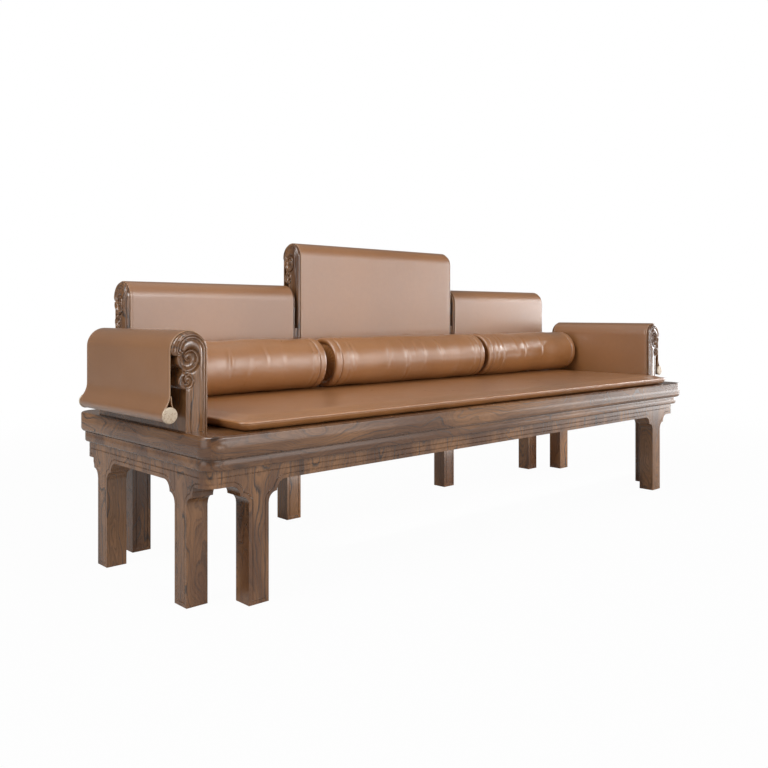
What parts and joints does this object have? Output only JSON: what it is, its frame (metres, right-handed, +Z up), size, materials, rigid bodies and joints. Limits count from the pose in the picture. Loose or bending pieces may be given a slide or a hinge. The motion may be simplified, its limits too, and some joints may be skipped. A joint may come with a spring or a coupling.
{
  "type": "luohan daybed",
  "caption": "Long low wooden daybed on square legs with cusped aprons, scroll-ended arms and stepped back screens draped in leather on rollers, a thin seat mat and round bolsters",
  "frame": {"origin": "on the floor, below the middle of the whole piece's outline", "axes": "+X along the platform to the sitter's left (the viewer's right), +Y towards the back screens, +Z up"},
  "size_m": [2.2946, 0.7368, 0.9353],
  "materials": {
    "wood": "dark walnut-brown hardwood, fine straight grain, polished lacquer",
    "hide": "cognac leather, fine pebble grain, waxed sheen, pale raw edges",
    "cap": "cream bone-like caps, smooth satin, faint flecks"
  },
  "bodies": {
    "base": {"frame_front": "wood", "frame_back": "wood", "frame_left": "wood", "frame_right": "wood", "deck_panel": "wood", "deck_battens": "wood", "waist_moulding": "wood", "leg_front_left": "wood", "leg_front_right": "wood", "leg_back_left": "wood", "leg_back_right": "wood", "leg_back_mid_left": "wood", "leg_back_mid_right": "wood", "leg_side_left_front": "wood", "leg_side_right_front": "wood", "leg_side_left_back": "wood", "leg_side_right_back": "wood", "apron_front": "wood", "apron_back_left": "wood", "apron_back_centre": "wood", "apron_back_right": "wood", "apron_side_left": "wood", "apron_side_right": "wood", "apron_corner_front_left": "wood", "apron_corner_front_right": "wood", "apron_corner_back_left": "wood", "apron_corner_back_right": "wood", "spacer_keys": "wood"},
    "mat": {"seat_mat": "hide"},
    "bolster_left": {"bolster_left": "hide"},
    "bolster_centre": {"bolster_centre": "hide"},
    "bolster_right": {"bolster_right": "hide"},
    "arm_left": {"arm_left_front_post": "wood", "arm_left_back_post": "wood", "arm_left_panel": "wood", "arm_left_cover": "hide"},
    "arm_left_hanging": {"arm_left_flap": "hide", "arm_left_roller": "cap"},
    "arm_right": {"arm_right_front_post": "wood", "arm_right_back_post": "wood", "arm_right_panel": "wood", "arm_right_cover": "hide"},
    "arm_right_hanging": {"arm_right_flap": "hide", "arm_right_roller": "cap"},
    "back_left": {"back_left_posts": "wood", "back_left_panel": "wood", "back_left_cover": "hide"},
    "back_left_hanging": {"back_left_flap": "hide", "back_left_roller": "cap"},
    "back_centre": {"back_centre_posts": "wood", "back_centre_panel": "wood", "back_centre_cover": "hide"},
    "back_centre_hanging": {"back_centre_flap": "hide", "back_centre_roller": "cap"},
    "back_right": {"back_right_posts": "wood", "back_right_panel": "wood", "back_right_cover": "hide"},
    "back_right_hanging": {"back_right_flap": "hide", "back_right_roller": "cap"}
  },
  "joints": [
    {"name": "mat_lift", "type": "slide", "parent": "base", "child": "mat", "axis": [0, 0, 1], "range_m": [0, 0.06]},
    {"name": "bolster_left_lift", "type": "slide", "parent": "mat", "child": "bolster_left", "axis": [0, 0, 1], "range_m": [0, 0.06]},
    {"name": "bolster_centre_lift", "type": "slide", "parent": "mat", "child": "bolster_centre", "axis": [0, 0, 1], "range_m": [0, 0.06]},
    {"name": "bolster_right_lift", "type": "slide", "parent": "mat", "child": "bolster_right", "axis": [0, 0, 1], "range_m": [0, 0.06]},
    {"name": "arm_left_lift", "type": "slide", "parent": "base", "child": "arm_left", "axis": [0, 0, 1], "range_m": [0, 0.06]},
    {"name": "arm_left_flap_swing", "type": "hinge", "parent": "arm_left", "child": "arm_left_hanging", "pos_m": [-1.1253, -0.0152, 0.6055], "axis": [0, 1, 0], "range_deg": [0, 20]},
    {"name": "arm_right_lift", "type": "slide", "parent": "base", "child": "arm_right", "axis": [0, 0, 1], "range_m": [0, 0.06]},
    {"name": "arm_right_flap_swing", "type": "hinge", "parent": "arm_right", "child": "arm_right_hanging", "pos_m": [1.1253, -0.0152, 0.6055], "axis": [0, -1, 0], "range_deg": [0, 20]},
    {"name": "back_left_lift", "type": "slide", "parent": "base", "child": "back_left", "axis": [0, 0, 1], "range_m": [0, 0.06]},
    {"name": "back_left_flap_swing", "type": "hinge", "parent": "back_left", "child": "back_left_hanging", "pos_m": [-0.69215, 0.3464, 0.74], "axis": [1, 0, 0], "range_deg": [0, 20]},
    {"name": "back_centre_lift", "type": "slide", "parent": "base", "child": "back_centre", "axis": [0, 0, 1], "range_m": [0, 0.06]},
    {"name": "back_centre_flap_swing", "type": "hinge", "parent": "back_centre", "child": "back_centre_hanging", "pos_m": [0, 0.3464, 0.886], "axis": [1, 0, 0], "range_deg": [0, 20]},
    {"name": "back_right_lift", "type": "slide", "parent": "base", "child": "back_right", "axis": [0, 0, 1], "range_m": [0, 0.06]},
    {"name": "back_right_flap_swing", "type": "hinge", "parent": "back_right", "child": "back_right_hanging", "pos_m": [0.69215, 0.3464, 0.74], "axis": [1, 0, 0], "range_deg": [0, 20]}
  ]
}
